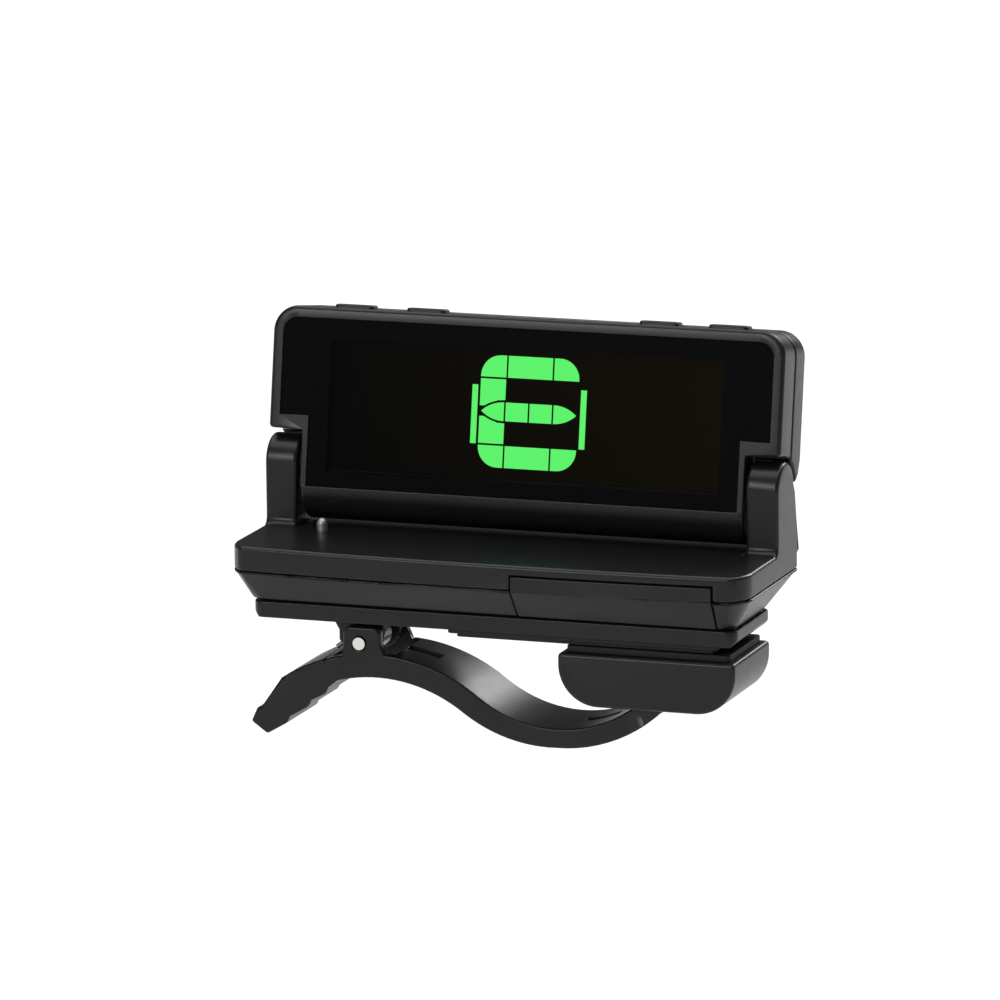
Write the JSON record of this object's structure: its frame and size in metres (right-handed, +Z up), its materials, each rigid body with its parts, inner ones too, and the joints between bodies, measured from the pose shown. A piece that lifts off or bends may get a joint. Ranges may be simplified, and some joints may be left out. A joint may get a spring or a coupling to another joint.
{
  "type": "clip-on instrument tuner",
  "caption": "Clip-on tuner: wide tilting display between two ears of a flat base, over a sprung clip with an S-shaped arm, a pivoting shoe and rubber-faced jaws.",
  "frame": {"origin": "on the clamping face of the fixed jaw's rubber pad, on the middle plane of the base and at the middle of the jaw's depth", "axes": "+X to the user's right along the base, +Y to the back, away from the user, +Z up, out of the jaw pad towards the display"},
  "size_m": [0.068, 0.0276, 0.0526],
  "materials": {
    "black_plastic": "fine satin texture",
    "satin_black_plastic": "semi-gloss moulding",
    "button_plastic": "satin",
    "black_rubber": "matte",
    "screw_steel": "zinc plated",
    "bright_steel": "ground",
    "peg_metal": "satin",
    "spring_steel": "drawn wire",
    "black_nylon": "satin",
    "sensor_brass": "rolled",
    "contact_metal": "nickel plated",
    "cell_steel": "brushed",
    "window_plastic": "clear, smoked",
    "lcd_glass": "dark",
    "lcd_green": "lit",
    "diffuser_plastic": "frosted",
    "board_green": "solder mask",
    "chip_black": "matte"
  },
  "bodies": {
    "base": {"base_top_shell": "black_plastic", "base_bottom_shell": "black_plastic", "base_screws": "screw_steel", "piezo_sensor": "sensor_brass", "battery_contact_positive": "contact_metal", "battery_contact_negative": "contact_metal", "hinge_pins": "bright_steel", "hinge_washers": "black_nylon", "stop_peg": "peg_metal", "jaw_plate": "black_plastic", "plate_screws": "screw_steel", "jaw_pad": "black_rubber", "clip_pin": "bright_steel", "torsion_spring": "spring_steel"},
    "tray": {"battery_tray": "black_plastic", "coin_cell": "cell_steel"},
    "display": {"display_front_shell": "black_plastic", "display_rear_shell": "black_plastic", "display_window": "window_plastic", "lcd_panel": "lcd_glass", "lcd_segments": "lcd_green", "backlight": "diffuser_plastic", "main_circuit_board": "board_green", "controller_chip": "chip_black", "tact_switches": "contact_metal", "display_screws": "screw_steel"},
    "power_key": {"power_button": "button_plastic"},
    "mode_key": {"mode_button": "button_plastic"},
    "pitch_down_key": {"pitch_down_button": "button_plastic"},
    "pitch_up_key": {"pitch_up_button": "button_plastic"},
    "arm": {"clip_arm": "satin_black_plastic"},
    "shoe_body": {"shoe": "black_plastic", "shoe_pad": "black_rubber", "shoe_pin": "bright_steel"}
  },
  "joints": [
    {"name": "display_tilt", "type": "hinge", "parent": "base", "child": "display", "pos_m": [0, 0.0081, 0.01815], "axis": [1, 0, 0], "range_deg": [0, 100]},
    {"name": "clip_open", "type": "hinge", "parent": "base", "child": "arm", "pos_m": [-0.0178, 0, -0.0019], "axis": [0, 1, 0], "range_deg": [0, 28], "stiffness_Nm_per_rad": 0.3, "springref_deg": -34.38, "deforming": ["torsion_spring"]},
    {"name": "shoe_align", "type": "hinge", "parent": "arm", "child": "shoe_body", "pos_m": [0.0214, 0, -0.0043], "axis": [0, 1, 0], "range_deg": [-28, 0]},
    {"name": "tray_pull", "type": "slide", "parent": "base", "child": "tray", "axis": [0, -1, 0], "range_m": [0, 0.022]},
    {"name": "power_press", "type": "slide", "parent": "display", "child": "power_key", "axis": [0, -0.1736, -0.9848], "range_m": [0, 0.0003], "stiffness_N_per_m": 2500},
    {"name": "mode_press", "type": "slide", "parent": "display", "child": "mode_key", "axis": [0, -0.1736, -0.9848], "range_m": [0, 0.0003], "stiffness_N_per_m": 2500},
    {"name": "pitch_down_press", "type": "slide", "parent": "display", "child": "pitch_down_key", "axis": [0, -0.1736, -0.9848], "range_m": [0, 0.0003], "stiffness_N_per_m": 2500},
    {"name": "pitch_up_press", "type": "slide", "parent": "display", "child": "pitch_up_key", "axis": [0, -0.1736, -0.9848], "range_m": [0, 0.0003], "stiffness_N_per_m": 2500}
  ],
  "couplings": [
    {"joint": "shoe_align", "follows": "clip_open", "ratio": -1}
  ]
}
